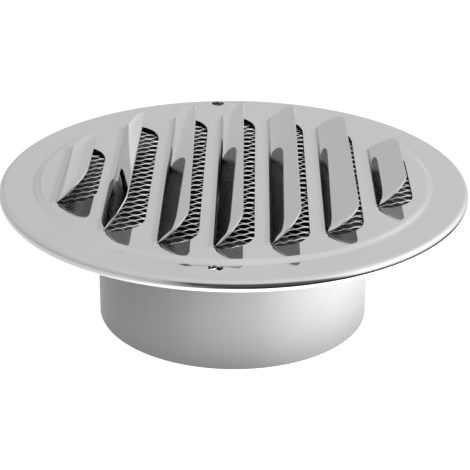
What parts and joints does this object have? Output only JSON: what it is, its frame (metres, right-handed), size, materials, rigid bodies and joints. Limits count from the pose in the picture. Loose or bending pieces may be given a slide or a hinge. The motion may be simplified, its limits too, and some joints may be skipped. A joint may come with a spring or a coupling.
{
  "type": "round vent cover",
  "caption": "Round polished metal vent cover with pressed louvres, a rolled rim, a fly screen behind them and a plain spigot that slides into a round duct",
  "frame": {"origin": "on the duct's axis, in the wall plane that the rolled rim rests against", "axes": "+Z out of the wall, -Z into the duct, +Y along the line through the two screw holes, +X towards the side to which the louvres open"},
  "size_m": [0.167, 0.167, 0.0608],
  "materials": {
    "polished_plate": "mirror-polished stainless steel",
    "screen_metal": "bright expanded metal",
    "satin_sheet": "satin sheet, as rolled"
  },
  "bodies": {
    "root": {"face_plate": "polished_plate", "fly_screen": "screen_metal", "spigot": "satin_sheet"}
  },
  "joints": []
}
